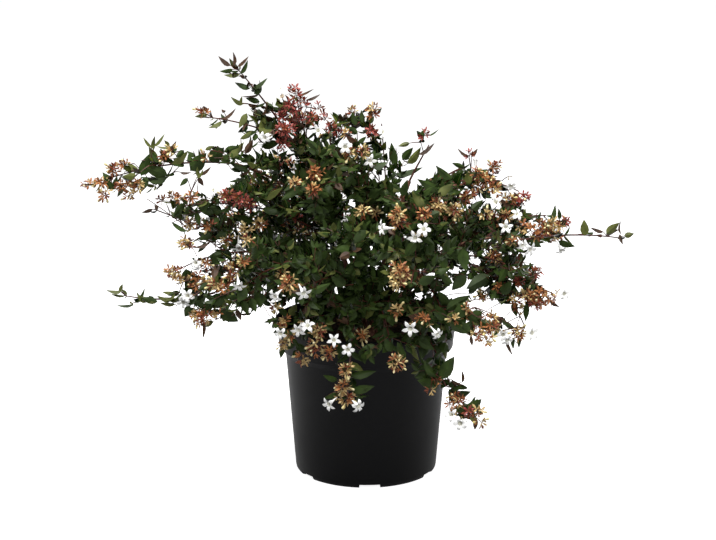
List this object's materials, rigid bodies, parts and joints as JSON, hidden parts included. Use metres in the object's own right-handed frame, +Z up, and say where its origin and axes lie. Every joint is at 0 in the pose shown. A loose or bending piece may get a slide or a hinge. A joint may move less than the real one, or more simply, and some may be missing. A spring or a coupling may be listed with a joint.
{
  "type": "potted abelia",
  "caption": "Arching evergreen shrub with small pointed glossy leaves, copper calyces and white funnel flowers, in a round black nursery pot.",
  "frame": {"origin": "centre of the pot's flat underside, on the ground", "axes": "+Z up; +X to the right of a viewer in front of the plant; +Y away from that viewer"},
  "size_m": [0.8305, 0.5779, 0.6516],
  "materials": {
    "pot": "moulded black polypropylene with a soft satin sheen",
    "soil": "damp potting mix of composted bark",
    "stems": "thin reddish brown bark, peeling on the old canes",
    "leaves": "glossy dark green leaves with copper calyces and white flowers"
  },
  "bodies": {
    "root": {"pot": "pot", "soil": "soil", "cane_left": "stems", "cane_front_left": "stems", "cane_front": "stems", "cane_front_right": "stems", "cane_right": "stems", "cane_back_right": "stems", "cane_back_left": "stems", "cane_high_left": "stems", "cane_high_right": "stems", "bough_far_left": "stems", "bough_whip": "stems", "bough_far_left_low": "stems", "bough_right_low": "stems", "bough_far_right": "stems", "bough_right_up": "stems", "mass_far_left": "leaves", "mass_left_high": "leaves", "mass_whip": "leaves", "mass_left_mid": "leaves", "mass_left_low": "leaves", "mass_inner_left": "leaves", "mass_back_left_side": "leaves", "mass_left_upper": "leaves", "mass_top_back": "leaves", "mass_top_red": "leaves", "mass_front_high_left": "leaves", "mass_far_left_low": "leaves", "mass_low_left": "leaves", "mass_front_left": "leaves", "mass_rim_left": "leaves", "mass_front_mid_left": "leaves", "mass_front_droop": "leaves", "mass_rim_front": "leaves", "mass_front_centre": "leaves", "mass_front_right": "leaves", "mass_rim_right": "leaves", "mass_droop_right": "leaves", "mass_right_front": "leaves", "mass_inner_right": "leaves", "mass_back_right_side": "leaves", "mass_right_low": "leaves", "mass_right_lowest": "leaves", "mass_far_right": "leaves", "mass_right_copper": "leaves", "mass_right_shoulder": "leaves", "mass_right_top": "leaves", "mass_top_right": "leaves", "mass_top_right_back": "leaves", "mass_top": "leaves", "mass_front_high": "leaves", "mass_front_high_right": "leaves", "mass_back_left": "leaves", "mass_back_low_left": "leaves", "mass_back": "leaves", "mass_back_low": "leaves", "mass_back_right": "leaves", "mass_back_right_low": "leaves"}
  },
  "joints": []
}
